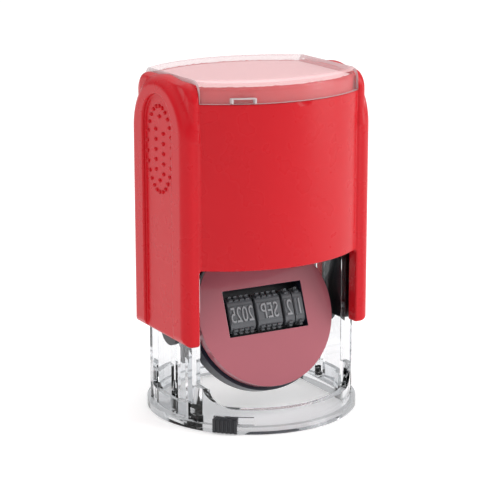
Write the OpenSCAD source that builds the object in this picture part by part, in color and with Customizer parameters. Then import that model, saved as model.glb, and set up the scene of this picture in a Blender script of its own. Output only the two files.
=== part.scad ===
// Self-inking round date stamp, held half way down its stroke.
// The origin is the middle of the foot ring, on the table. +Z is up and -Y is the front.
// The die side is modelled face up about its own axle, then turned to its resting angle.

/* [Base] */
// Outer radius of the flange at the foot of the ring
flange_r = 29.5; // [29.2:0.1:30]
// Thickness of the flange
flange_h = 2; // [1.6:0.1:2.4]
// Outer radius of the ring's wall
ring_r = 28; // [27.8:0.1:28.4]
// Thickness of the ring's wall
ring_t = 2; // [1.8:0.1:2.2]
// Height of the ring
ring_h = 6.4; // [5.5:0.1:6.4]
// Distance from the middle to a leg's inner face
leg_x = 22.4; // [22.4:0.1:22.5]
// Thickness of a leg's slotted web
leg_t = 2; // [1.8:0.1:2.1]
// Half of a leg's width
leg_y = 11.4; // [11:0.1:11.5]
// Height of the base's bridge above the table
base_h = 62; // [61.5:0.5:63]

/* [Handle] */
// Width of the handle over its two side pods
body_w = 58.5; // [58.2:0.1:58.8]
// Depth of a side pod, front to back
pod_d = 31.6; // [31.4:0.1:31.8]
// Depth of the middle column, front to back
column_d = 48; // [47.6:0.1:48.4]
// Radius of the column's curved front and back
front_r = 39; // [38.5:0.5:40]
// Height of the side pods' lower ends
pod_z = 23.3; // [23:0.1:24]
// Height of the column's lower edge
column_z = 44.3; // [44:0.1:45]
// Height of the top of the side pods
top_z = 95; // [94.8:0.1:95.4]
// Wall thickness of the handle
wall = 1.7; // [1.6:0.05:1.7]

/* [Clear cap] */
// Height of the cap's top face
cap_z = 95.2; // [95.1:0.1:95.4]
// Height of the lower edge of the cap's skirts
skirt_z = 89.2; // [88.8:0.1:89.6]
// Width of the cap between the side pods
cap_w = 48.8; // [48.4:0.1:48.8]

/* [Die] */
// Radius of the text plate
die_r = 21; // [20.5:0.1:21]
// Distance from the axle to the text plate's face
die_d = 8.7; // [8.6:0.1:8.8]
// Height of the axle above the table
axle_z = 25.2; // [25:0.1:25.6]
// Angle that the die has turned from face up
rest_angle = 69; // [67:0.5:71]
// Width of the date window
window_w = 24.9; // [24.8:0.1:25]
// Height of the date window
window_h = 12.8; // [12.6:0.1:13]

/* [Dater] */
// Width of the year band and of the month band
wide_band = 7.8; // [7.7:0.1:7.8]
// Width of each day band
day_band = 3; // [2.9:0.1:3]
// Thickness of a band
band_t = 0.8; // [0.6:0.1:0.8]
// Radius of a thumb wheel's rim
wheel_r = 6.8; // [6.4:0.1:6.8]
// Distance from the axle back to the thumb wheels' axle
wheel_back = 6; // [5.8:0.1:6.2]

/* [Hidden] */
$fn = 96;
over = 1;                               // how far a cut runs past the face it opens

// base
leg_depth = 3.8;                        // web's inner face to the edges of its flanges
leg_flange = 1.5;
slot_w = 4;                             // slot that a pivot pin slides in
slot_low = 5;                           // height of the slot's lower end centre
slot_high = 38;
ring_fillet = 5;                        // where the ring's wall sweeps up to a leg
relief_x = 26.4;                        // pocket in the ring's wall for an arm's bearing end
relief_y = 5.4;
bridge_t = 2;
groove_z = 54;                          // groove in the legs that the cartridge slides in
groove_h = 2.2;
groove_depth = 0.9;
spring_post_r = 4.4;
spring_post_h = 4;
slider_from = -140;                     // lock slider's sector, seen from above
slider_to = -127;
slider_slot_from = -141;
slider_slot_to = -118;
slider_slot_r = 27;                     // radius of the slot's floor
slider_z = 2.2;
slider_h = 1.8;
slider_face_gap = 0.05;                 // the slider's face hangs down outside the flange
slider_face_t = 0.6;
slider_face_z = 0.2;
foot_pad_h = 3.4;
foot_pad_w = 2.2;

// ink
cartridge_r = 21.6;
cartridge_z = 50.6;
cartridge_h = 9;
pad_r = 20.4;
pad_z = 50.2;
pad_h = 7;
pad_gap = 0.05;                         // gap round the pad in its cartridge

// handle
half_w = body_w / 2;
half_pod = pod_d / 2;
arch_z = top_z - half_pod;              // centre of the pods' arched tops
opening_x = 24.6;                       // half width of the front and back openings
return_t = 1.5;                         // walls beside the openings
return_y = 11.8;
pod_in_x = half_w - wall;
pod_in_y = half_pod - wall;
pod_in_z = 82;                          // roof of the hollow inside a pod
hollow_x = 22.8;                        // where a pod's hollow opens into the column's
recess_y = 8.3;                         // half width of the grip recess
recess_d = 1;
recess_z = 81.8;                        // centre of the recess's arched top
bulge_x = pod_in_x - recess_d + 0.05;   // inner face behind the recess
bulge_y = recess_y + wall;
roof_z = 93;
roof_t = 1.8;
shoulder_x = 27.2;
shoulder_z = 94.3;
shoulder_r = 5;
card_h = 0.3;

// inner arms
arm_x = 24.7;
arm_y = 9.5;
arm_z = 23.4;                           // clears the ring's top when the handle is fully down
arm_end_r = 5;
arm_end_t = 1.4;                        // thickness of the rounded bearing end

// clear cap
cap_x = cap_w / 2;
cap_t = 1.2;
cap_gap = 0.2;
cap_proud = 0.3;                        // the skirts stand a little outside the column

// die, in the frame of its own axle, face up
drum_r = 21.8;
drum_top = 5.1;
drum_low = 0.9;
drum_wall = 2;
drum_roof = 2;
cushion_t = 0.8;
window_y = 0.5;                         // the window sits a little above the middle
window_gap = 0.4;
pin_r = 1.8;
pin_from = 17.6;
pin_to = 26;
pin_bore_gap = 0.05;
ear_x = 17.4;
ear_r = 3.6;
lug_reach = 10.5;                       // cam lug on each side of the holder
lug_angle = -rest_angle;
lug_w = 3;

// dater, in the same frame
band_pad_h = 0.5;                       // raised printing platform
band_y = 4.6;
band_front = die_d - band_pad_h;
hub_gap = 0.3;
hub_r = band_y - band_t - hub_gap;
rim_t = 0.6;
rim_gap = 0.15;
band_gap = 0.9;                         // gap that a wheel's rim stands in
bands_shift = 0.5;                      // the bands stand to the right of the window's middle
day_gap = 0.3;
bands_w = 2 * wide_band + 2 * band_gap + 2 * day_band + day_gap;
year_x = bands_shift - bands_w / 2;      // left edge of each band
month_x = year_x + wide_band + band_gap;
ones_x = month_x + wide_band + band_gap;
tens_x = ones_x + day_band + day_gap;
side_x = bands_w / 2 + bands_shift + rim_t + 2 * rim_gap + 0.1;
side_t = 1.2;
side_y = 8;
side_back = wheel_back + 3;
bar_y = 4.9;                            // cross bars that close the window above and below the bands
bar_z = 1.1;
wheel_axle_r = 1.2;
clip_t = 0.6;
clip_r = 2.2;

// return spring
spring_r = 6;
spring_wire_r = 0.55;
spring_turns = 6;
spring_flat = 0.8;                      // part of a turn that lies flat at each end
spring_z = base_h + spring_wire_r;
spring_top = roof_z - roof_t - spring_wire_r;

module at_axle() {
    translate([0, 0, axle_z]) rotate([rest_angle, 0, 0]) children();
}

// a solid that runs along X, from a profile whose x is Y and whose y is Z
module along_x(from, length) {
    translate([from, 0, 0]) rotate([90, 0, 90]) linear_extrude(length) children();
}

module both_x() {
    children();
    mirror([1, 0, 0]) children();
}

module both_y() {
    children();
    mirror([0, 1, 0]) children();
}

// sector of a disc between two angles, used to cut arcs
module sector(from, to, r) {
    mid = (from + to) / 2;
    polygon([[0, 0], r * [cos(from), sin(from)], 1.2 * r * [cos(mid), sin(mid)], r * [cos(to), sin(to)]]);
}

// ---- base ----

module leg_plan() {
    translate([leg_x, -leg_y]) square([leg_t, 2 * leg_y]);
    both_y() translate([leg_x, leg_y - leg_flange]) square([leg_depth, leg_flange]);
}

module leg() {
    slot_x = leg_x - over;
    slot_len = leg_t + 2 * over;
    difference() {
        linear_extrude(base_h) leg_plan();
        along_x(slot_x, slot_len) translate([0, slot_low]) circle(d = slot_w);
        along_x(slot_x, slot_len) translate([0, slot_high]) circle(d = slot_w);
        along_x(slot_x, slot_len) translate([-slot_w / 2, slot_low]) square([slot_w, slot_high - slot_low]);
        translate([leg_x - over, -leg_y - over, groove_z])
            cube([over + groove_depth, 2 * leg_y + 2 * over, groove_h]);
    }
}

module ring() {
    rotate_extrude() {
        translate([ring_r - ring_t, 0]) square([flange_r - ring_r + ring_t, flange_h]);
        translate([ring_r - ring_t, 0]) square([ring_t, ring_h]);
    }
}

// wall that sweeps from the ring's top edge up to a leg
module ring_sweep() {
    foot_h = ring_h + ring_fillet;
    intersection() {
        difference() {
            cylinder(r = ring_r, h = foot_h);
            translate([0, 0, -over]) cylinder(r = ring_r - ring_t, h = foot_h + 2 * over);
        }
        rotate([90, 0, 0]) linear_extrude(2 * ring_r, center = true) difference() {
            translate([leg_x - ring_fillet, 0]) square([ring_fillet + leg_t, foot_h]);
            translate([leg_x - ring_fillet, foot_h]) circle(r = ring_fillet);
        }
        both_y() translate([0, leg_y - leg_flange, 0]) cube([ring_r, ring_r, foot_h]);
    }
    both_y() linear_extrude(foot_h) intersection() {
        translate([leg_x, leg_y - leg_flange]) square([leg_t, ring_r]);
        circle(r = ring_r);
    }
}

module leg_floor() {
    linear_extrude(flange_h) intersection() {
        circle(r = ring_r - ring_t / 2);
        translate([leg_x, -ring_r]) square([ring_r, 2 * ring_r]);
    }
}

module base_frame() {
    color("gainsboro", 0.5) difference() {
        union() {
            ring();
            both_x() {
                leg();
                ring_sweep();
                leg_floor();
            }
            translate([-leg_x - leg_t, -leg_y, base_h - bridge_t]) cube([2 * (leg_x + leg_t), 2 * leg_y, bridge_t]);
            translate([0, 0, base_h - over]) cylinder(r = spring_post_r, h = spring_post_h + over);
        }
        slider_slot();
        both_x() both_y() foot_pocket();
        both_x() arm_relief();
    }
}

module slider_slot() {
    translate([0, 0, slider_z - 0.2]) linear_extrude(slider_h + 0.4) intersection() {
        difference() {
            circle(r = flange_r + over);
            circle(r = slider_slot_r);
        }
        sector(slider_slot_from, slider_slot_to, 2 * flange_r);
    }
}

// room for an arm's bearing end when the handle is fully down
module arm_relief() {
    from = leg_x + leg_t;
    translate([from, -relief_y, flange_h]) cube([relief_x - from, 2 * relief_y, ring_h]);
}

module foot_pocket() {
    translate([leg_x - 0.1, leg_y - over, -over]) cube([foot_pad_w, foot_pad_w + over, foot_pad_h + over]);
}

module foot_pads() {
    color("black") both_x() both_y()
        translate([leg_x - 0.1, leg_y - over, 0]) cube([foot_pad_w, foot_pad_w + over, foot_pad_h]);
}

module lock_slider() {
    grooves = 5;
    face_in = flange_r + slider_face_gap;
    face_out = face_in + slider_face_t;
    top = slider_z + slider_h;
    color("black") difference() {
        union() {
            translate([0, 0, slider_z]) linear_extrude(slider_h) slider_sector(slider_slot_r + 0.15, face_in + 0.1);
            translate([0, 0, slider_face_z]) linear_extrude(top - slider_face_z) slider_sector(face_in, face_out);
        }
        for (i = [0 : grooves - 1]) {
            angle = slider_from + (i + 1) * (slider_to - slider_from) / (grooves + 1);
            rotate([0, 0, angle]) translate([face_out, 0, slider_face_z - over])
                cylinder(r = 0.3, h = top - slider_face_z + 2 * over, $fn = 24);
        }
    }
}

module slider_sector(inner, outer) {
    intersection() {
        difference() {
            circle(r = outer);
            circle(r = inner);
        }
        sector(slider_from, slider_to, 2 * flange_r);
    }
}

// ---- ink ----

module pad_cartridge() {
    rail_h = groove_h - 0.2;
    color("dimgray") difference() {
        union() {
            translate([0, 0, cartridge_z]) cylinder(r = cartridge_r, h = cartridge_h);
            translate([-leg_x - groove_depth + 0.1, -8, groove_z + 0.1]) cube([2 * (leg_x + groove_depth - 0.1), 16, rail_h]);
        }
        translate([0, 0, cartridge_z - over]) cylinder(r = pad_r + pad_gap, h = pad_z + pad_h - cartridge_z + over);
    }
}

module ink_pad() {
    color("indigo") translate([0, 0, pad_z]) cylinder(r = pad_r, h = pad_h);
}

// ---- return spring: a wire swept along a helix whose end turns lie flat ----

module main_spring() {
    sides = 6;
    steps = 14;
    count = steps * spring_turns;
    rise = spring_top - spring_z;
    function height(i) =
        let (t = i / count, flat = spring_flat / spring_turns)
        spring_z + rise * min(1, max(0, (t - flat) / (1 - 2 * flat)));
    points = [
        for (i = [0 : count], k = [0 : sides - 1])
            let (a = 360 * i / steps, b = 360 * k / sides, r = spring_r + spring_wire_r * cos(b))
            [r * cos(a), r * sin(a), height(i) + spring_wire_r * sin(b)]
    ];
    walls = [
        for (i = [0 : count - 1], k = [0 : sides - 1])
            let (m = (k + 1) % sides)
            [i * sides + k, (i + 1) * sides + k, (i + 1) * sides + m, i * sides + m]
    ];
    start = [for (k = [0 : sides - 1]) k];
    end = [for (k = [sides - 1 : -1 : 0]) count * sides + k];
    color("silver") polyhedron(points, concat(walls, [start, end]), convexity = 10);
}

// ---- handle ----

// lens made by the column's curved front and back
module column_plan(inset) {
    reach = front_r - column_d / 2;
    intersection() {
        translate([0, reach]) circle(r = front_r - inset, $fn = 200);
        translate([0, -reach]) circle(r = front_r - inset, $fn = 200);
        square([2 * shoulder_x, 2 * column_d], center = true);
    }
}

module arch(half, low, middle) {
    translate([0, middle]) circle(r = half);
    translate([-half, low]) square([2 * half, middle - low]);
}

// profile of the shoulder between the cap and a pod, seen from the side
module shoulder_profile() {
    mid_h = shoulder_z - shoulder_r;
    translate([-half_pod, arch_z]) square([pod_d, mid_h - arch_z]);
    translate([shoulder_r - half_pod, arch_z]) square([pod_d - 2 * shoulder_r, shoulder_z - arch_z]);
    both_sides = half_pod - shoulder_r;
    translate([-both_sides, mid_h]) circle(r = shoulder_r);
    translate([both_sides, mid_h]) circle(r = shoulder_r);
}

module pod_shell() {
    along_x(opening_x, half_w - opening_x) arch(half_pod, pod_z, arch_z);
    along_x(cap_x + cap_gap, shoulder_x - cap_x - cap_gap) shoulder_profile();
}

module pod_hollow() {
    difference() {
        translate([hollow_x, -pod_in_y, pod_z - over]) cube([pod_in_x - hollow_x, 2 * pod_in_y, pod_in_z - pod_z + over]);
        translate([bulge_x, -bulge_y, pod_z - 2 * over]) cube([half_w, 2 * bulge_y, pod_in_z]);
        both_y() translate([opening_x, return_y, pod_z - 2 * over]) cube([return_t, half_pod, pod_in_z]);
    }
}

module grip_recess() {
    along_x(half_w - recess_d, recess_d + over) arch(recess_y, pod_z - over, recess_z);
}

module housing() {
    color("crimson") difference() {
        union() {
            translate([0, 0, column_z]) linear_extrude(roof_z - column_z) column_plan(0);
            both_x() pod_shell();
        }
        translate([0, 0, column_z - over]) linear_extrude(roof_z - roof_t - column_z + over) intersection() {
            column_plan(wall);
            square([2 * opening_x, 2 * column_d], center = true);
        }
        both_x() pod_hollow();
        both_x() grip_recess();
        cap_seat();
    }
}

// step that the cap's skirts drop over
module cap_seat() {
    depth = cap_t + cap_gap - cap_proud;
    translate([0, 0, skirt_z - 0.1]) linear_extrude(top_z) intersection() {
        difference() {
            square(2 * column_d, center = true);
            column_plan(depth);
        }
        square([cap_w + 2 * cap_gap, 3 * column_d], center = true);
    }
}

module inner_arm() {
    length = bulge_x - arm_x;
    difference() {
        union() {
            along_x(arm_x, length) translate([-arm_y, arm_z]) square([2 * arm_y, pod_in_z - arm_z]);
            along_x(arm_x, arm_end_t) translate([0, axle_z]) circle(r = arm_end_r);
        }
        along_x(arm_x - over, arm_end_t + over) translate([0, axle_z]) circle(r = pin_r + pin_bore_gap);
    }
}

module inner_arm_left() {
    color("black") mirror([1, 0, 0]) inner_arm();
}

module inner_arm_right() {
    color("black") inner_arm();
}

module index_card() {
    color("mistyrose") translate([0, 0, roof_z]) linear_extrude(card_h) intersection() {
        column_plan(2);
        square([cap_w - 2, 2 * column_d], center = true);
    }
}

module clear_cap() {
    color("white", 0.4) difference() {
        translate([0, 0, skirt_z]) linear_extrude(cap_z - skirt_z) cap_plan(-cap_proud, cap_w);
        translate([0, 0, skirt_z - over]) linear_extrude(cap_z - cap_t - skirt_z + over)
            cap_plan(cap_t - cap_proud, cap_w + 2 * over);
    }
}

module cap_plan(inset, width) {
    intersection() {
        column_plan(inset);
        square([width, 3 * column_d], center = true);
    }
}

// ---- die ----

module window_hole(gap) {
    translate([-window_w / 2 - gap, window_y - window_h / 2 - gap]) square([window_w + 2 * gap, window_h + 2 * gap]);
}

module ear() {
    length = drum_r - ear_x - 0.3;
    difference() {
        union() {
            intersection() {
                union() {
                    along_x(ear_x, length) circle(r = ear_r);
                    along_x(ear_x, length) translate([-ear_r, 0]) square([2 * ear_r, drum_top - drum_roof / 2]);
                }
                translate([0, 0, -drum_r]) cylinder(r = drum_r, h = 2 * drum_r);
            }
            rotate([lug_angle, 0, 0]) translate([drum_r - drum_wall, -lug_w / 2, -lug_reach])
                cube([1.5, lug_w, lug_reach]);
        }
        along_x(ear_x - over, length + 2 * over + 1.5) circle(r = pin_r);
    }
}

module die_holder() {
    color("#1b1d2a") at_axle() difference() {
        union() {
            difference() {
                translate([0, 0, drum_low]) cylinder(r = drum_r, h = drum_top - drum_low);
                translate([0, 0, drum_low - over])
                    cylinder(r = drum_r - drum_wall, h = drum_top - drum_roof - drum_low + over);
            }
            both_x() ear();
        }
        linear_extrude(2 * drum_top) window_hole(window_gap);
        both_x() along_x(ear_x - over, half_w) circle(r = pin_r);
    }
}

module cushion_sheet() {
    color("gray") at_axle() translate([0, 0, drum_top]) linear_extrude(cushion_t) difference() {
        circle(r = die_r - 0.3);
        window_hole(window_gap);
    }
}

module text_plate() {
    low = drum_top + cushion_t;
    color("#b0606c") at_axle() translate([0, 0, low]) linear_extrude(die_d - low) difference() {
        circle(r = die_r);
        window_hole(0);
    }
}

module pivot_pin() {
    at_axle() along_x(pin_from, pin_to - pin_from) circle(r = pin_r);
}

module pivot_pin_left() {
    color("silver") mirror([1, 0, 0]) pivot_pin();
}

module pivot_pin_right() {
    color("silver") pivot_pin();
}

// ---- dater ----

// two side plates, joined by a cross bar above the bands and one below them
module dater_frame() {
    top = drum_top - drum_roof;
    reach = side_x + side_t;
    color("#22242e") at_axle() {
        both_x() difference() {
            along_x(side_x, side_t) difference() {
                translate([-side_y, -side_back]) square([2 * side_y, side_back + top]);
                translate([side_y, -side_back]) rotate(45) square(4, center = true);
                translate([-side_y, -side_back]) rotate(45) square(4, center = true);
            }
            along_x(side_x - over, side_t + 2 * over) translate([0, -wheel_back]) circle(r = wheel_axle_r);
        }
        both_y() along_x(-reach, 2 * reach) translate([bar_y, bar_z]) square([side_y - bar_y, top - bar_z]);
    }
}

module nose_bar() {
    half = band_y - band_t - 0.05;
    foot_z = 1.3;
    front = band_front - band_t - 0.05;
    foot_x = bands_w / 2 - 2;
    color("#22242e") at_axle() {
        along_x(year_x, bands_w) difference() {
            translate([-half, foot_z]) square([2 * half, front - foot_z]);
            nose_corners(half, front);
        }
        both_x() along_x(foot_x, side_x - foot_x)
            translate([-half, foot_z]) square([2 * half, drum_top - drum_roof - foot_z]);
    }
}

// trims the two front corners of the bar to match the bands' bends
module nose_corners(half, front) {
    r = 0.9;
    for (s = [-1, 1]) difference() {
        translate([s * half - r, front - r]) square(2 * r);
        translate([s * (half - r), front - r]) circle(r = r, $fn = 32);
        translate([-half + r, front - 3 * r]) square([2 * (half - r), 4 * r]);
        translate([-2 * half, front - 5 * r]) square([4 * half, 4 * r]);
    }
}

module wheel_axle() {
    reach = side_x + side_t + clip_t + 0.2;
    color("silver") at_axle() along_x(-reach, 2 * reach) translate([0, -wheel_back]) circle(r = wheel_axle_r);
}

module axle_clips() {
    color("silver") at_axle() both_x() along_x(side_x + side_t, clip_t) difference() {
        translate([0, -wheel_back]) circle(r = clip_r, $fn = 48);
        translate([0, -wheel_back]) circle(r = wheel_axle_r);
    }
}

// outline of a band's loop, from the nose back round the hub
module loop_outline(half, front, r) {
    translate([0, -wheel_back]) circle(r = half);
    translate([-half, -wheel_back]) square([2 * half, front - r + wheel_back]);
    translate([-half + r, -wheel_back]) square([2 * (half - r), front + wheel_back]);
    for (s = [-1, 1]) translate([s * (half - r), front - r]) circle(r = r, $fn = 48);
}

module band(x, width) {
    color("#3a3d45") at_axle() {
        along_x(x, width) difference() {
            loop_outline(band_y, band_front, 1.7);
            loop_outline(band_y - band_t, band_front - band_t, 0.9);
        }
        along_x(x, width) translate([-2.8, band_front - band_t / 2]) square([5.6, band_t / 2 + band_pad_h]);
    }
}

module band_year() {
    band(year_x, wide_band);
}

module band_month() {
    band(month_x, wide_band);
}

module band_day_ones() {
    band(ones_x, day_band);
}

module band_day_tens() {
    band(tens_x, day_band);
}

// hub inside a band's loop, with a knurled rim beside the loop at side -1 or 1
module wheel(x, width, side) {
    teeth = 24;
    rim_x = side < 0 ? x - rim_gap - rim_t : x + width + rim_gap;
    hub_x = side < 0 ? rim_x + rim_t / 2 : x + 0.1;
    hub_len = side < 0 ? x + width - 0.1 - hub_x : rim_x + rim_t / 2 - hub_x;
    color("#2c2f38") at_axle() difference() {
        union() {
            along_x(rim_x, rim_t) translate([0, -wheel_back]) difference() {
                circle(r = wheel_r);
                for (i = [0 : teeth - 1]) rotate(i * 360 / teeth) translate([wheel_r, 0]) circle(r = 0.4, $fn = 16);
            }
            along_x(hub_x, hub_len) translate([0, -wheel_back]) circle(r = hub_r);
        }
        along_x(-half_w, body_w) translate([0, -wheel_back]) circle(r = wheel_axle_r + 0.05);
    }
}

module wheel_year() {
    wheel(year_x, wide_band, -1);
}

module wheel_month() {
    wheel(month_x, wide_band, -1);
}

module wheel_day_ones() {
    wheel(ones_x, day_band, -1);
}

module wheel_day_tens() {
    wheel(tens_x, day_band, 1);
}

base_frame();
foot_pads();
lock_slider();
pad_cartridge();
ink_pad();
main_spring();
housing();
inner_arm_left();
inner_arm_right();
index_card();
clear_cap();
die_holder();
cushion_sheet();
text_plate();
pivot_pin_left();
pivot_pin_right();
dater_frame();
nose_bar();
wheel_axle();
axle_clips();
band_year();
band_month();
band_day_ones();
band_day_tens();
wheel_year();
wheel_month();
wheel_day_ones();
wheel_day_tens();
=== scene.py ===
"""Looks for a round self-inking date stamp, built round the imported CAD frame.

Lengths are millimetres, and MM turns them into metres where a mesh is made. The stage, the lights and
the camera are set in metres.
"""
import math

import bmesh
import bpy
import numpy as np
from mathutils import Matrix, Vector


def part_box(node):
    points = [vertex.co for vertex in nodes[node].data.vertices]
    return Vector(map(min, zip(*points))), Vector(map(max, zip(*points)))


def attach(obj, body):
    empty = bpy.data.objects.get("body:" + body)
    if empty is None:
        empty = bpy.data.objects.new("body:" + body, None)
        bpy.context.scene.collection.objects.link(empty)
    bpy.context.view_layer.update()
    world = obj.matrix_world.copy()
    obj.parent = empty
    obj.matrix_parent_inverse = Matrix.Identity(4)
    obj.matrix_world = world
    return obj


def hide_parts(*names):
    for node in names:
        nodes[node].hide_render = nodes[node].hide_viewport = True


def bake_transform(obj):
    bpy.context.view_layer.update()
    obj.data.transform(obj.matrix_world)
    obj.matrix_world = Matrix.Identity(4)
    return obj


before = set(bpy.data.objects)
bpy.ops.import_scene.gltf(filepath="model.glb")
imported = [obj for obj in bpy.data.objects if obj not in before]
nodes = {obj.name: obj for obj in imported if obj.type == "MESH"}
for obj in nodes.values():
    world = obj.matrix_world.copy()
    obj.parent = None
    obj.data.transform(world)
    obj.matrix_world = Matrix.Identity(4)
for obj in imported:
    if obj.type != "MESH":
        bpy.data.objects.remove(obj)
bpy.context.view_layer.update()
MM = 0.001
BUMP_DEPTH = 0.05


# ---------------------------------------------------------------- materials

def material(name, base, rough=0.4, metal=0.0, coat=0.0, coat_rough=0.1, transmission=0.0, ior=1.5,
             tint=0.0, tint_scale=60.0, bump=0.0, bump_scale=2000.0, rough_var=0.0, sheen=0.0, spec=0.5,
             glow=0.0, alpha=1.0):
    """Principled plastic, rubber or metal with a noise-driven tint, roughness and fine surface bump."""
    m = bpy.data.materials.new(name)
    m.use_nodes = True
    nt = m.node_tree
    b = nt.nodes["Principled BSDF"]
    b.inputs["Base Color"].default_value = (*base, 1)
    b.inputs["Roughness"].default_value = rough
    b.inputs["Metallic"].default_value = metal
    b.inputs["Coat Weight"].default_value = coat
    b.inputs["Coat Roughness"].default_value = coat_rough
    b.inputs["Transmission Weight"].default_value = transmission
    b.inputs["IOR"].default_value = ior
    b.inputs["Sheen Weight"].default_value = sheen
    b.inputs["Specular IOR Level"].default_value = spec
    b.inputs["Alpha"].default_value = alpha
    if glow:
        b.inputs["Emission Color"].default_value = (*base, 1)
        b.inputs["Emission Strength"].default_value = glow
    where = nt.nodes.new("ShaderNodeTexCoord").outputs["Object"]

    def noise(scale, detail):
        n = nt.nodes.new("ShaderNodeTexNoise")
        n.inputs["Scale"].default_value = scale
        n.inputs["Detail"].default_value = detail
        nt.links.new(where, n.inputs["Vector"])
        return n.outputs["Fac"]

    def ramp(source, low, high):
        r = nt.nodes.new("ShaderNodeValToRGB")
        r.color_ramp.elements[0].position = 0.0
        r.color_ramp.elements[1].position = 1.0
        r.color_ramp.elements[0].color = low
        r.color_ramp.elements[1].color = high
        nt.links.new(source, r.inputs["Fac"])
        return r.outputs["Color"]

    if tint:
        dark = [c * (1 - tint) for c in base]
        light = [min(1, c * (1 + tint)) for c in base]
        nt.links.new(ramp(noise(tint_scale, 3), (*dark, 1), (*light, 1)), b.inputs["Base Color"])
    if rough_var:
        lo, hi = max(0, rough - rough_var), min(1, rough + rough_var)
        nt.links.new(ramp(noise(tint_scale * 3, 2), (lo, lo, lo, 1), (hi, hi, hi, 1)), b.inputs["Roughness"])
    if bump:
        k = nt.nodes.new("ShaderNodeBump")
        k.inputs["Strength"].default_value = bump
        k.inputs["Distance"].default_value = BUMP_DEPTH * MM
        nt.links.new(noise(bump_scale, 2), k.inputs["Height"])
        nt.links.new(k.outputs["Normal"], b.inputs["Normal"])
    return m


RED = material("moulded_red", (0.55, 0.005, 0.012), 0.28, tint=0.04, bump=0.03, bump_scale=900,
               rough_var=0.04, spec=0.22)
CLEAR = material("clear_styrene", (0.80, 0.815, 0.83), 0.025, transmission=1.0, ior=1.40, rough_var=0.01,
                 tint=0.01)

# The cap is see-through by Alpha in three strengths, because refraction gives it a dark rim. The pink in all
# three colours is a painted reflection of the red handle and pink card behind the cap.
CLEAR_CAP_PAINTED_TINT = material("clear_cap_styrene_painted_tint", (0.97, 0.90, 0.90), 0.05, rough_var=0.02, tint=0.01, spec=1.0,
                     alpha=0.07)
# Painted light: the cap top glows pink, standing in for the light that would pass through the clear top onto
# the card.
CAP_TOP_PAINTED_GLOW = material("clear_cap_top_painted_glow", (0.90, 0.60, 0.61), 0.06, rough_var=0.02, tint=0.01, spec=1.0,
                   glow=0.12, alpha=0.52)
CAP_EDGE_PAINTED_TINT = material("clear_cap_edge_painted_tint", (0.68, 0.60, 0.61), 0.10, rough_var=0.02, tint=0.01, alpha=0.85)

BLACK = material("satin_black", (0.016, 0.017, 0.021), 0.38, tint=0.12, bump=0.08, rough_var=0.06)
NAVY = material("holder_navy", (0.013, 0.016, 0.032), 0.30, coat=0.2, tint=0.10, bump=0.05, rough_var=0.05)
ROSE = material("rose_rubber_cast", (0.43, 0.115, 0.145), 0.22, coat=0.5, coat_rough=0.06, tint=0.03,
                bump=0.02, bump_scale=700, rough_var=0.03)
BAND = material("band_rubber_grey", (0.10, 0.105, 0.115), 0.45, tint=0.15, tint_scale=400, bump=0.15,
                rough_var=0.08)
TYPE = material("type_face_grey", (0.30, 0.305, 0.32), 0.42, tint=0.18, tint_scale=500, bump=0.12,
                rough_var=0.08)
SMOKE = material("smoke_rubber", (0.085, 0.087, 0.095), 0.42, tint=0.12, bump=0.08, rough_var=0.06)
FOAM = material("cell_foam", (0.45, 0.45, 0.46), 0.9, tint=0.15, tint_scale=1500, bump=0.6,
                bump_scale=2600, sheen=0.2)
FELT = material("inked_felt", (0.012, 0.010, 0.035), 0.85, tint=0.35, tint_scale=900, bump=0.8,
                bump_scale=1800, sheen=0.3)
STEEL = material("drawn_steel", (0.56, 0.57, 0.59), 0.24, metal=1.0, tint=0.06, tint_scale=300, bump=0.04,
                 rough_var=0.06)
CARD = material("smooth_card", (0.95, 0.70, 0.71), 0.6, tint=0.03, tint_scale=200, bump=0.1, bump_scale=1500)


def dress(name, mat, bevel=0.0, segments=2, angle=35):
    """Gives a CAD node its material and, where asked, a small moulded edge radius."""
    o = nodes[name]
    o.data.materials.clear()
    o.data.materials.append(mat)
    for p in o.data.polygons:
        p.material_index = 0
    if bevel:
        w = o.modifiers.new("weld", "WELD")
        w.merge_threshold = 1e-6
        b = o.modifiers.new("edge_radius", "BEVEL")
        b.width = bevel * MM
        b.segments = segments
        b.limit_method = "ANGLE"
        b.angle_limit = math.radians(angle)
        b.use_clamp_overlap = True
        n = o.modifiers.new("face_normals", "WEIGHTED_NORMAL")
        n.mode = "FACE_AREA"
        n.weight = 100
        n.thresh = 0.01
    return o


def mesh_object(name, verts, faces, mat, smooth=True):
    me = bpy.data.meshes.new(name)
    me.from_pydata([tuple(v) for v in verts], [], [tuple(f) for f in faces])
    me.validate()
    me.update()
    me.materials.append(mat)
    for p in me.polygons:
        p.use_smooth = smooth
    o = bpy.data.objects.new(name, me)
    bpy.context.scene.collection.objects.link(o)
    return o


# ---------------------------------------------------------------- distance-field mesher

def rmax(a, b, r):
    """Overlap of two fields whose shared edge is rounded to radius r."""
    u, v = a + r, b + r
    return np.minimum(np.maximum(u, v), 0) + np.hypot(np.maximum(u, 0), np.maximum(v, 0)) - r


def rmin(a, b, r):
    """Join of two fields with a fillet of radius r in the corner between them."""
    return -rmax(-a, -b, r)


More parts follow.
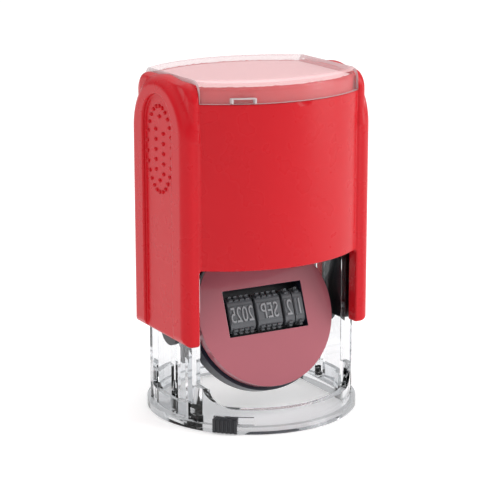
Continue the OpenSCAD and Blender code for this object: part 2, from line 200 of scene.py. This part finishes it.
def surface(field, low, high, step):
    """Quads and normals of the zero surface of field(x, y, z), with its points moved onto that surface."""
    axes = [np.arange(low[i], high[i] + step, step) for i in range(3)]
    g = field(*np.meshgrid(*axes, indexing="ij"))
    inside = g < 0
    n = np.array(g.shape)
    corner = [(i, j, k) for i in (0, 1) for j in (0, 1) for k in (0, 1)]
    count = sum(inside[i:n[0] - 1 + i, j:n[1] - 1 + j, k:n[2] - 1 + k].astype(np.int8) for i, j, k in corner)
    cells = np.argwhere((count > 0) & (count < 8))
    vals = np.stack([g[cells[:, 0] + i, cells[:, 1] + j, cells[:, 2] + k] for i, j, k in corner], 1)
    total = np.zeros((len(cells), 3))
    hits = np.zeros(len(cells))
    for p in range(8):
        for q in range(p + 1, 8):
            d = np.array(corner[q]) - np.array(corner[p])
            if np.abs(d).sum() != 1:
                continue
            a, b = vals[:, p], vals[:, q]
            cross = (a < 0) != (b < 0)
            t = np.where(cross, a / np.where(cross, a - b, 1), 0)
            total += cross[:, None] * (np.array(corner[p]) + t[:, None] * d)
            hits += cross
    pts = np.array(low) + step * (cells + total / hits[:, None])
    index = np.full(n - 1, -1, np.int64)
    index[tuple(cells.T)] = np.arange(len(cells))
    quads = []
    for ax in range(3):
        o1, o2 = [(1, 2), (2, 0), (0, 1)][ax]
        a = inside.take(range(n[ax] - 1), ax)
        b = inside.take(range(1, n[ax]), ax)
        e = np.argwhere(a != b)
        e = e[(e[:, o1] > 0) & (e[:, o2] > 0) & (e[:, o1] < n[o1] - 1) & (e[:, o2] < n[o2] - 1)]
        flip = a[tuple(e.T)]
        ring = []
        for s1, s2 in ((1, 1), (0, 1), (0, 0), (1, 0)):
            c = e.copy()
            c[:, o1] -= s1
            c[:, o2] -= s2
            ring.append(index[tuple(c.T)])
        q = np.stack(ring, 1)
        q[~flip] = q[~flip][:, ::-1]
        quads.append(q)
    probe = 0.02

    def slope(p):
        s = []
        for i in range(3):
            d = np.zeros(3)
            d[i] = probe
            s.append((field(*(p + d).T) - field(*(p - d).T)) / (2 * probe))
        return np.stack(s, 1)

    for _ in range(2):
        s = slope(pts)
        move = field(*pts.T)[:, None] * s / np.maximum((s * s).sum(1), 0.2)[:, None]
        length = np.linalg.norm(move, axis=1, keepdims=True)
        pts = pts - move * np.minimum(1, 0.5 * step / np.maximum(length, 1e-9))
    s = slope(pts)
    return pts, np.concatenate(quads), s / np.maximum(np.linalg.norm(s, axis=1, keepdims=True), 1e-9)


# ---------------------------------------------------------------- handle

POD_X = 29.25       # half width over the pods
POD_Y = 15.8        # half depth of a pod
ARCH_Z = 79.2       # height where a pod's arched top starts
POD_Z = 23.3        # lower edge of the pods
COLUMN_R = 39.0     # radius of the column's front and back
COLUMN_C = 15.0     # how far each of those arcs' centres lies from the middle
COLUMN_Z = 44.3     # lower edge of the column
OPENING_X = 24.6    # half width between the two pods
SHOULDER_X = 27.2   # half width over the shoulders
SKIRT_Z = 89.1      # lower edge of the cap's seat
ROOF_Z = 93.0       # roof of the CAD handle, which the card lies on
RIM_Z = 93.85       # rim round the card's tray
DOT_FOOT = 28.2     # grip dots start just under the floor of their recess


def lens(x, y, inset=0.0):
    """Field of the column's plan: the overlap of two circles."""
    return np.maximum(np.hypot(x, y - COLUMN_C), np.hypot(x, y + COLUMN_C)) - COLUMN_R + inset


def arch(y, z, half, middle):
    """Field of a strip with a half-round top whose centre is at height middle."""
    return np.where(z > middle, np.hypot(y, z - middle), np.abs(y)) - half


def housing_field(x, y, z):
    """Handle: column, two pods and shoulders, less the cap's seat, card tray, hollows and grip recesses."""
    ax, ay = np.abs(x), np.abs(y)
    body = np.maximum(rmax(lens(x, y), COLUMN_Z - z, 0.35), np.maximum(z - RIM_Z, ax - SHOULDER_X))
    body = np.maximum(body, np.where(ax > OPENING_X, rmax(lens(x, y), z - 93.6, 2.2), z - RIM_Z))
    seat = np.maximum(np.maximum(SKIRT_Z - z, ax - OPENING_X), -rmax(lens(x, y, 1.1), z - RIM_Z, 1.4))
    tray = np.maximum(np.maximum(lens(x, y, 1.9), ax - 23.5), ROOF_Z - z)
    body = np.maximum(np.maximum(body, -seat), -tray)
    pod = rmax(rmax(arch(y, z, POD_Y, ARCH_Z), POD_Z - z, 0.9), ax - POD_X, 2.9)
    pod = rmax(pod, OPENING_X - ax, 0.5)
    shoulder = rmax(rmax(ay - POD_Y, z - 94.3, 5.0), np.maximum(24.8 - ax, ARCH_Z - z), 0.3)
    shoulder = rmax(shoulder, ax - SHOULDER_X, 1.6)
    outer = rmin(rmin(body, pod, 0.9), shoulder, 0.8)
    thicker = 1.3 * np.clip((z - 86.0) / 2, 0, 1)
    hollow = np.maximum(np.maximum(lens(x, y, 1.7 + thicker), ax - OPENING_X), z - 91.2)
    inner = np.maximum(np.maximum(ax - 27.55, ay - 14.1), np.maximum(22.8 - ax, z - 82.0))
    bulge = np.maximum(26.6 - ax, ay - 10.0)
    wall = np.maximum(np.maximum(OPENING_X - ax, ax - 26.1), 11.8 - ay)
    inner = np.maximum(np.maximum(inner, -bulge), -wall)
    recess = rmax(arch(y, z, 8.3, 81.8), 28.25 - ax, 0.35)
    notch = np.sqrt(((x - 3.0) / 2.9) ** 2 + ((y + 24.1) / 0.55) ** 2 + ((z - 89.2) / 1.5) ** 2) - 1
    shape = np.maximum(np.maximum(outer, -hollow), -inner)
    shape = rmax(shape, -recess, 0.45)
    return np.maximum(shape, -0.5 * notch)


def field_object(name, field, low, high, step, mat):
    """Mesh of a field's zero surface, shaded by the field's own normals."""
    pts, quads, normals = surface(field, low, high, step)
    o = mesh_object(name, pts * MM, quads, mat)
    o.data.normals_split_custom_set_from_vertices([tuple(v) for v in normals])
    return o


SHELL_STEP = 0.42
shell = field_object("handle_shell", housing_field, (-30.1, -25.1, 22.3), (30.1, 25.1, 95.4), SHELL_STEP, RED)
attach(shell, "handle")
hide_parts("housing")


def grip_dots(side):
    """Small domes on the floor of one grip recess: an oval of them round two short columns."""
    spots = [(7.1 * math.sin(t) if abs(math.cos(t)) < 0.999 else 0, 75.1 + 11.7 * math.cos(t))
             for t in [2 * math.pi * i / 26 for i in range(26)]]
    for col in (-1, 1):
        spots += [(col * 2.2, 68.6 + 2.75 * i + (0.7 if col > 0 else 0)) for i in range(5)]
    spots += [(0, 66.6), (0, 84.0)]
    rings, around, r, h = 4, 12, 0.6, 0.6
    verts, faces = [], []
    for y, z in spots:
        start = len(verts)
        for k in range(rings):
            t = 0.5 * math.pi * k / rings
            for j in range(around):
                a = 2 * math.pi * j / around
                verts.append((side * (DOT_FOOT + h * math.sin(t)), y + r * math.cos(t) * math.cos(a),
                              z + r * math.cos(t) * math.sin(a)))
        verts.append((side * (DOT_FOOT + h), y, z))
        for k in range(rings - 1):
            for j in range(around):
                m = (j + 1) % around
                a, b = start + k * around, start + (k + 1) * around
                faces.append((a + j, a + m, b + m, b + j)[::side])
        last = start + (rings - 1) * around
        for j in range(around):
            faces.append((last + j, last + (j + 1) % around, len(verts) - 1)[::side])
        faces.append(tuple(start + j for j in range(around))[::-side])
    o = mesh_object("grip_dots_" + ("left" if side < 0 else "right"), np.array(verts) * MM, faces, RED)
    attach(o, "handle")


grip_dots(-1)
grip_dots(1)


# ---------------------------------------------------------------- clear cap

CAP_TOP_Z = 95.2
CAP_SKIRT_Z = 89.2
CAP_HALF = 24.4


def cap_section(x, inset, r):
    """Upside-down U at one place along X, from the front skirt's edge over the top to the back one."""
    half = math.sqrt((COLUMN_R + 0.3) ** 2 - x * x) - COLUMN_C - inset
    top = CAP_TOP_Z - inset
    pts = [(-half, CAP_SKIRT_Z), (-half, CAP_SKIRT_Z + 0.5 * (top - r - CAP_SKIRT_Z))]
    pts += [(-half + r - r * math.cos(t), top - r + r * math.sin(t))
            for t in [0.5 * math.pi * i / 10 for i in range(11)]]
    pts += [(-half + r + (half - r) * k / 6, top) for k in range(1, 7)]
    return pts + [(-y, z) for y, z in reversed(pts[:-1])]


def make_cap():
    """Cover with rim faces, top faces and the rest in three strengths of see-through material."""
    stations = [CAP_HALF * math.sin(math.pi * (i / 48 - 0.5)) for i in range(49)]
    outer = [[(x, y, z) for y, z in cap_section(x, 0.0, 2.9)] for x in stations]
    inner = [[(x, y, z) for y, z in cap_section(x, 1.2, 1.7)] for x in stations]
    n = len(outer[0])
    verts = [p for row in outer for p in row] + [p for row in inner for p in row]
    off = len(stations) * n
    faces = []
    for i in range(len(stations) - 1):
        for j in range(n - 1):
            a, b = i * n + j, (i + 1) * n + j
            faces.append((a, b, b + 1, a + 1))
            faces.append((off + a, off + a + 1, off + b + 1, off + b))
        for j in (0, n - 1):
            a, b = i * n + j, (i + 1) * n + j
            f = (a, off + a, off + b, b)
            faces.append(f if j == 0 else f[::-1])
    for i in (0, len(stations) - 1):
        for j in range(n - 1):
            a = i * n + j
            f = (a, a + 1, off + a + 1, off + a)
            faces.append(f if i == 0 else f[::-1])
    o = mesh_object("cap_cover", np.array(verts) * MM, faces, CLEAR_CAP_PAINTED_TINT)
    o.data.materials.append(CAP_EDGE_PAINTED_TINT)
    o.data.materials.append(CAP_TOP_PAINTED_GLOW)
    bm = bmesh.new()
    bm.from_mesh(o.data)
    bmesh.ops.recalc_face_normals(bm, faces=bm.faces)
    for f in bm.faces:
        z = f.calc_center_median().z / MM
        rim = abs(f.normal.x) > 0.95 or z < 89.3 and f.normal.z < -0.95
        # Top faces take the cap-top material with its painted glow.
        f.material_index = 1 if rim else 2 if z > 94.3 and f.normal.z > 0.8 else 0
    for e in bm.edges:
        if len(e.link_faces) == 2 and e.calc_face_angle(0) > math.radians(40):
            e.smooth = False
    bm.to_mesh(o.data)
    bm.free()
    b = o.modifiers.new("edge_radius", "BEVEL")
    b.width = 0.18 * MM
    b.segments = 2
    b.limit_method = "ANGLE"
    b.angle_limit = math.radians(50)
    return o


cap = make_cap()
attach(cap, "cap")
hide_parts("clear_cap")


def snap_tab():
    """Low frame moulded on the inside of the front skirt, where it clips to the handle."""
    verts, faces = [], []

    def bar(x0, x1, z0, z1):
        s = len(verts)
        for x in (x0, 0.5 * (x0 + x1), x1):
            out = -(math.sqrt((COLUMN_R + 0.28) ** 2 - x * x) - COLUMN_C)
            verts.extend([(x, out, z0), (x, out, z1), (x, out + 1.25, z1), (x, out + 1.25, z0)])
        for k in (0, 4):
            for j in range(4):
                a, b = s + k + j, s + k + (j + 1) % 4
                faces.append((a, b, b + 4, a + 4))
        faces.append((s, s + 3, s + 2, s + 1))
        faces.append((s + 8, s + 9, s + 10, s + 11))

    bar(-17.3, -11.2, 90.5, 90.8)
    bar(-17.3, -16.9, 89.35, 90.5)
    bar(-11.6, -11.2, 89.35, 90.5)
    o = mesh_object("cap_snap_tab", np.array(verts) * MM, faces, CAP_EDGE_PAINTED_TINT, smooth=False)
    bm = bmesh.new()
    bm.from_mesh(o.data)
    bmesh.ops.recalc_face_normals(bm, faces=bm.faces)
    bm.to_mesh(o.data)
    bm.free()
    b = o.modifiers.new("edge_radius", "BEVEL")
    b.width = 0.06 * MM
    b.segments = 2
    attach(o, "cap")


snap_tab()


# ---------------------------------------------------------------- die and dater

AXLE = Vector((0, 0, 25.2))      # die's axle at rest
TILT = Matrix.Rotation(math.radians(69), 4, "X")
PLACE = Matrix.Translation(AXLE * MM) @ TILT


def on_die(o, body="die"):
    """Takes an object modelled face up about the die's axle to its resting place."""
    o.data.transform(PLACE)
    o.data.update()
    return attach(o, body)


def type_mesh(name, text, width, height, depth):
    """A line of mirrored, raised type as its own mesh, centred on its own origin."""
    c = bpy.data.curves.new(name, "FONT")
    c.body = text
    c.extrude = 0.5
    c.resolution_u = 3
    t = bpy.data.objects.new(name, c)
    bpy.context.scene.collection.objects.link(t)
    bpy.context.view_layer.update()
    me = bpy.data.meshes.new_from_object(t.evaluated_get(bpy.context.evaluated_depsgraph_get()))
    bpy.data.objects.remove(t)
    co = np.array([v.co for v in me.vertices])
    lo, hi = co.min(0), co.max(0)
    mid, size = (lo + hi) / 2, hi - lo
    width = min(width, 0.62 * height * size[0] / size[1])
    co = (co - mid) / size * np.array([-width, height, depth])
    for v, p in zip(me.vertices, co):
        v.co = p * MM
    me.flip_normals()
    return me


def band_loop(width, x0):
    """Belt that runs round the hub and over the nose; make_band adds the raised platform at each printing
    place.
    """
    r, half, front, t = 1.7, 4.6, 8.2, 0.8
    path = []
    for i in range(9):
        a = 0.5 * math.pi * i / 8
        path.append((half - r + r * math.cos(a), front - r + r * math.sin(a)))
    path += [(-y, z) for y, z in reversed(path)]
    for i in range(25):
        a = math.pi + math.pi * i / 24
        path.append((half * math.cos(a), -6 + half * math.sin(a)))
    n = len(path)
    pts = np.array(path)
    tangent = np.roll(pts, -1, 0) - np.roll(pts, 1, 0)
    tangent /= np.linalg.norm(tangent, axis=1, keepdims=True)
    inward = np.stack([-tangent[:, 1], tangent[:, 0]], 1)
    inner = pts + t * inward
    verts = [(x, y, z) for x in (x0, x0 + width) for y, z in list(pts) + list(inner)]
    faces = []
    for j in range(n):
        m = (j + 1) % n
        faces += [(j, m, 2 * n + m, 2 * n + j), (n + j, 3 * n + j, 3 * n + m, n + m),
                  (j, n + j, n + m, m), (2 * n + j, 2 * n + m, 3 * n + m, 3 * n + j)]
    return verts, faces


def platform(verts, faces, x0, x1, y0, y1, z0, z1, taper):
    """Block whose upper face is smaller than its foot, the way a printing platform is moulded."""
    s = len(verts)
    for z, k in ((z0, 0.0), (z1, taper)):
        verts.extend([(x0 + k, y0 + k, z), (x1 - k, y0 + k, z), (x1 - k, y1 - k, z), (x0 + k, y1 - k, z)])
    faces += [(s, s + 3, s + 2, s + 1), (s + 4, s + 5, s + 6, s + 7)]
    faces += [(s + j, s + (j + 1) % 4, s + 4 + (j + 1) % 4, s + 4 + j) for j in range(4)]


def make_band(node, text, neighbours):
    """Belt of one dater band with its platforms, ribs and type, standing for the CAD node of that name."""
    low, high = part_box(node)
    x0, width = low.x / MM, (high.x - low.x) / MM
    verts, faces = band_loop(width, x0)
    mid = x0 + width / 2
    platform(verts, faces, x0 + 0.1, x0 + width - 0.1, -2.6, 2.6, 8.0, 8.38, 0.12)
    side, faces_side = [], []
    platform(side, faces_side, x0 + 0.1, x0 + width - 0.1, 3.5, 6.9, 4.5, 4.85, 0.1)
    for sign in (-1, 1):
        s = len(verts)
        verts.extend([(x, sign * z, y) for x, y, z in side])
        faces.extend([tuple(s + i for i in f) for f in faces_side])
    count = 4 if width > 5 else 1
    for sign in (-1, 1):
        for i in range(count):
            cx = mid + (i - (count - 1) / 2) * 1.75
            for tilt, reach, wide in ((38, 2.35, 0.62), (66, 2.75, 0.5)):
                s = len(verts)
                t = math.radians(tilt)
                out, along = (math.sin(t), math.cos(t)), (math.cos(t), -math.sin(t))
                for dx, rad, across in [(dx, rad, ac) for rad in (1.5, reach) for dx, ac in
                                        ((-wide, -0.3), (wide, -0.3), (wide, 0.3), (-wide, 0.3))]:
                    verts.append((cx + dx, sign * (2.9 + rad * out[0] + across * along[0]),
                                  6.5 + rad * out[1] + across * along[1]))
                faces += [(s, s + 3, s + 2, s + 1), (s + 4, s + 5, s + 6, s + 7)]
                faces += [(s + j, s + (j + 1) % 4, s + 4 + (j + 1) % 4, s + 4 + j) for j in range(4)]
    o = mesh_object("belt_" + node, np.array(verts) * MM, faces, BAND, smooth=False)
    bm = bmesh.new()
    bm.from_mesh(o.data)
    bmesh.ops.recalc_face_normals(bm, faces=bm.faces)
    bm.to_mesh(o.data)
    bm.free()
    b = o.modifiers.new("edge_radius", "BEVEL")
    b.width = 0.07 * MM
    b.segments = 2
    b.limit_method = "ANGLE"
    b.angle_limit = math.radians(30)
    on_die(o)
    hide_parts(node)
    places = [(text, Matrix.Translation(Vector((mid, 0, 8.5)) * MM))]
    for sign, word in ((1, neighbours[0]), (-1, neighbours[1])):
        turn = Matrix.Rotation(-sign * math.pi / 2, 4, "X")
        places.append((word, Matrix.Translation(Vector((mid, sign * 5.05, 5.2)) * MM) @ turn))
    for k, (word, where) in enumerate(places):
        high = 4.3 if k == 0 else 2.9
        me = type_mesh("type", word, width - 0.8, high, 0.4)
        me.transform(where)
        me.materials.append(TYPE)
        g = bpy.data.objects.new("type_%s_%d" % (node, k), me)
        bpy.context.scene.collection.objects.link(g)
        on_die(g)


make_band("band_year", "2025", ("2026", "2024"))
make_band("band_month", "SEP", ("OCT", "AUG"))
make_band("band_day_ones", "2", ("3", "1"))
make_band("band_day_tens", "1", ("2", "0"))


# ---------------------------------------------------------------- soft pieces and spring

def soft_disc(name, r, z0, z1, edge, mat, hole=None, seed=1, rough=0.03):
    """Disc of foam or felt with rounded edges and an uneven face, optionally with a rectangular window."""
    rng = np.random.default_rng(seed)
    phase = rng.uniform(0, 6.28, 6)

    def field(x, y, z):
        wave = rough * (np.sin(1.9 * x + phase[0]) * np.sin(2.3 * y + phase[1])
                        + 0.6 * np.sin(3.7 * x + phase[2]) * np.sin(3.1 * y + phase[3]))
        d = rmax(np.hypot(x, y) - r, np.abs(z - (z0 + z1) / 2) - (z1 - z0) / 2 - wave, edge)
        if hole:
            hx, hy, cy = hole
            d = np.maximum(d, -np.maximum(np.abs(x) - hx, np.abs(y - cy) - hy))
        return d
    step = 0.4
    step = min(step, (z1 - z0) / 2.2)
    return field_object(name, field, (-r - 1, -r - 1, z0 - 1), (r + 1, r + 1, z1 + 1), step, mat)


pad = soft_disc("felt_pad", 20.35, 50.25, 57.15, 0.8, FELT, seed=3)
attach(pad, "base")
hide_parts("ink_pad")

sheet = soft_disc("foam_sheet", 20.65, 5.12, 5.88, 0.2, FOAM, hole=(12.85, 6.8, 0.5), seed=5, rough=0.008)
on_die(sheet)
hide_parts("cushion_sheet")


def coil():
    """Round-wire compression spring with closed ends, between the base's bridge and the handle's roof."""
    turns, steps, sides, R, r = 6, 40, 10, 6.0, 0.55
    low, high, flat = 62.55, 90.65, 0.8
    n = turns * steps
    verts, faces = [], []
    for i in range(n + 1):
        a = 2 * math.pi * i / steps
        f = min(1, max(0, (i / steps - flat) / (turns - 2 * flat)))
        z = low + (high - low) * f
        for k in range(sides):
            b = 2 * math.pi * k / sides
            rad = R + r * math.cos(b)
            verts.append((rad * math.cos(a), rad * math.sin(a), z + r * math.sin(b)))
    for i in range(n):
        for k in range(sides):
            m = (k + 1) % sides
            faces.append((i * sides + k, (i + 1) * sides + k, (i + 1) * sides + m, i * sides + m))
    faces.append(tuple(range(sides)))
    faces.append(tuple(n * sides + k for k in range(sides - 1, -1, -1)))
    o = mesh_object("return_coil", np.array(verts) * MM, faces, STEEL)
    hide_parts("main_spring")
    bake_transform(o)


coil()


# ---------------------------------------------------------------- carried-over CAD nodes

dress("base_frame", CLEAR, 0.35, segments=3)
dress("foot_pads", SMOKE, 0.15)
dress("lock_slider", BLACK, 0.12)
dress("pad_cartridge", BLACK, 0.3)
dress("inner_arm_left", BLACK, 0.25)
dress("inner_arm_right", BLACK, 0.25)
dress("index_card", CARD)
dress("die_holder", NAVY, 0.25)
plate = dress("text_plate", ROSE, 0.14)
plate.data.materials.append(NAVY)
for p in plate.data.polygons:
    c, n = TILT.inverted() @ (p.center - AXLE * MM), TILT.inverted().to_3x3() @ p.normal
    if abs(n.z) < 0.2 and abs(c.x) < 13 * MM and abs(c.y) < 8 * MM:
        p.material_index = 1
dress("dater_frame", BLACK, 0.12)
dress("nose_bar", BLACK, 0.08)
for n in ("pivot_pin_left", "pivot_pin_right", "wheel_axle", "axle_clips"):
    dress(n, STEEL, 0.1)
for n in ("wheel_year", "wheel_month", "wheel_day_ones", "wheel_day_tens"):
    dress(n, BAND, 0.06)


# ---------------------------------------------------------------- stage, light and camera

def stage():
    """Pale floor, and a world that is white to the camera and a grey-to-white gradient to all light."""
    me = bpy.data.meshes.new("floor")
    me.from_pydata([(-3, -3, 0), (3, -3, 0), (3, 3, 0), (-3, 3, 0)], [], [(0, 1, 2, 3)])
    pale = material("pale_floor", (0.88, 0.88, 0.88), 0.7, tint=0.004, tint_scale=4)
    shader = pale.node_tree.nodes["Principled BSDF"]
    shader.inputs["Emission Color"].default_value = (1, 1, 1, 1)
    shader.inputs["Emission Strength"].default_value = 0.28
    me.materials.append(pale)
    floor = bpy.data.objects.new("floor", me)
    floor.location.z = -0.0002
    bpy.context.scene.collection.objects.link(floor)
    world = bpy.data.worlds.new("studio")
    world.use_nodes = True
    nt = world.node_tree
    back = nt.nodes["Background"]
    back.inputs["Strength"].default_value = 1.0
    split = nt.nodes.new("ShaderNodeSeparateXYZ")
    nt.links.new(nt.nodes.new("ShaderNodeTexCoord").outputs["Generated"], split.inputs["Vector"])
    ramp = nt.nodes.new("ShaderNodeValToRGB")
    stops = ramp.color_ramp.elements
    stops[0].position, stops[0].color = 0.04, (0.17, 0.17, 0.18, 1)
    stops[1].position, stops[1].color = 0.62, (1.0, 1.0, 1.0, 1)
    nt.links.new(split.outputs["Z"], ramp.inputs["Fac"])
    seen = nt.nodes.new("ShaderNodeMix")
    seen.data_type = "RGBA"
    seen.inputs["B"].default_value = (1, 1, 1, 1)
    nt.links.new(nt.nodes.new("ShaderNodeLightPath").outputs["Is Camera Ray"], seen.inputs["Factor"])
    nt.links.new(ramp.outputs["Color"], seen.inputs["A"])
    nt.links.new(seen.outputs["Result"], back.inputs["Color"])
    bpy.context.scene.world = world
    bpy.context.scene.view_settings.view_transform = "Standard"


def softbox(name, where, target, w, h, power):
    """Rectangular area light; its lengths are metres and its power is watts."""
    light = bpy.data.lights.new(name, "AREA")
    light.shape = "RECTANGLE"
    light.size = w
    light.size_y = h
    light.energy = power
    o = bpy.data.objects.new(name, light)
    o.location = where
    o.rotation_euler = (Vector(target) - Vector(where)).to_track_quat("-Z", "Y").to_euler()
    bpy.context.scene.collection.objects.link(o)


def camera():
    """Camera of the main view, 0.543 m back from a point about halfway up the stamp."""
    a, e = math.radians(29.5), math.radians(14.1)
    forward = Vector((math.sin(a) * math.cos(e), math.cos(a) * math.cos(e), -math.sin(e)))
    right = Vector((math.cos(a), -math.sin(a), 0))
    up = right.cross(forward)
    where = -forward * 0.543 + right * -0.0004 + up * 0.0425
    cam = bpy.data.cameras.new("camera")
    cam.sensor_width = 36
    cam.lens = 137.66
    cam.clip_start = 0.01
    o = bpy.data.objects.new("camera", cam)
    turn = Matrix((right, up, -forward)).transposed().to_4x4()
    o.matrix_world = Matrix.Translation(where) @ turn
    bpy.context.scene.collection.objects.link(o)
    bpy.context.scene.camera = o


stage()
softbox("right_box", (0.58, -0.40, 0.22), (0, 0, 0.06), 0.34, 0.9, 3.6)
softbox("left_box", (-0.72, -0.30, 0.30), (0, 0, 0.05), 0.5, 0.6, 0.35)
softbox("top_box", (0.0, 0.10, 0.80), (0, 0, 0.05), 0.7, 0.7, 1.4)
camera()
